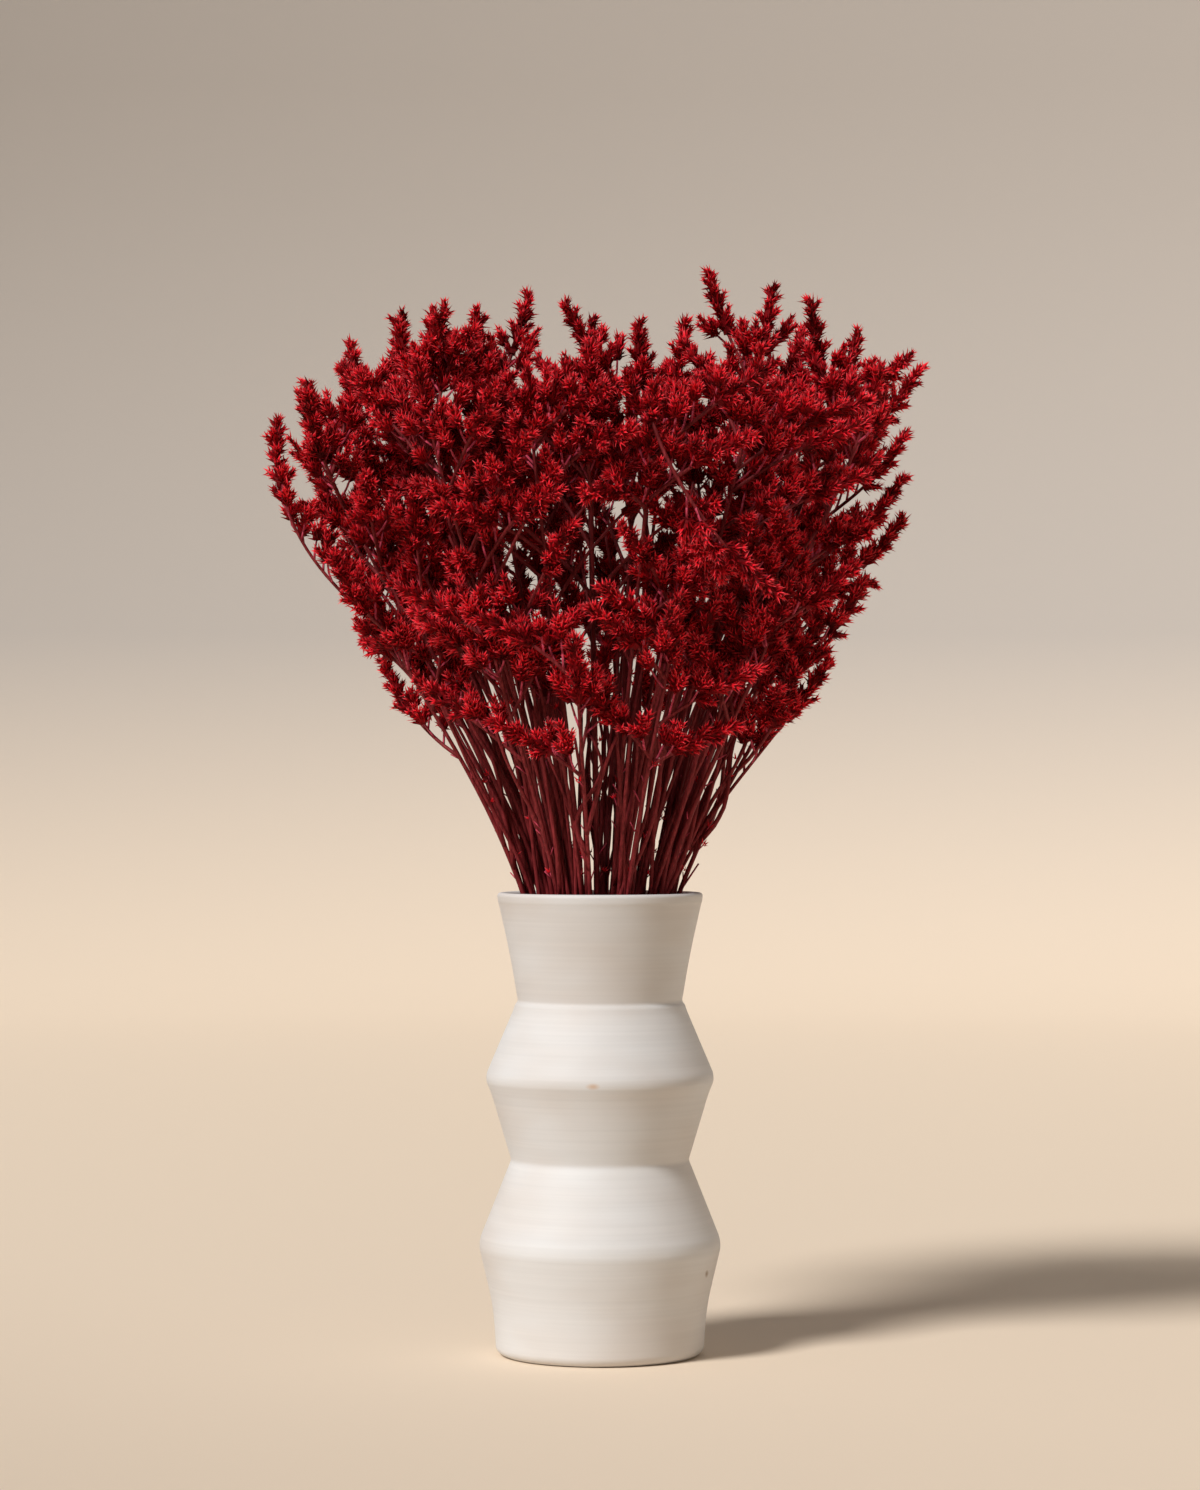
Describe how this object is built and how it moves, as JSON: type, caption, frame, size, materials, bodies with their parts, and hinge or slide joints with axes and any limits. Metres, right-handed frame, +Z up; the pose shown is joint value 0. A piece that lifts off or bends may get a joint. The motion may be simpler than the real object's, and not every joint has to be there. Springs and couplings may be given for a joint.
{
  "type": "dried statice in a vase",
  "caption": "Bunch of dried, dyed statice, a fan of branched stems with spiky flower plumes, in a turned ceramic vase with two bellies.",
  "frame": {"origin": "middle of the vase's flat underside, where it stands", "axes": "+Z up along the vase's axis, -Y towards the viewer's side of the bunch, +X to its right"},
  "size_m": [0.3765, 0.3069, 0.6408],
  "materials": {
    "bisque_ceramic": "matte",
    "dyed_statice": "matte"
  },
  "bodies": {
    "root": {"vase": "bisque_ceramic", "spray_01": "dyed_statice", "spray_02": "dyed_statice", "spray_03": "dyed_statice", "spray_04": "dyed_statice", "spray_05": "dyed_statice", "spray_06": "dyed_statice", "spray_07": "dyed_statice", "spray_08": "dyed_statice", "spray_09": "dyed_statice", "spray_10": "dyed_statice", "spray_11": "dyed_statice", "spray_12": "dyed_statice", "spray_13": "dyed_statice", "spray_14": "dyed_statice", "spray_15": "dyed_statice", "spray_16": "dyed_statice", "spray_17": "dyed_statice", "spray_18": "dyed_statice", "spray_19": "dyed_statice", "spray_20": "dyed_statice", "spray_21": "dyed_statice", "spray_22": "dyed_statice", "spray_23": "dyed_statice", "spray_24": "dyed_statice", "spray_25": "dyed_statice", "spray_26": "dyed_statice"}
  },
  "joints": []
}
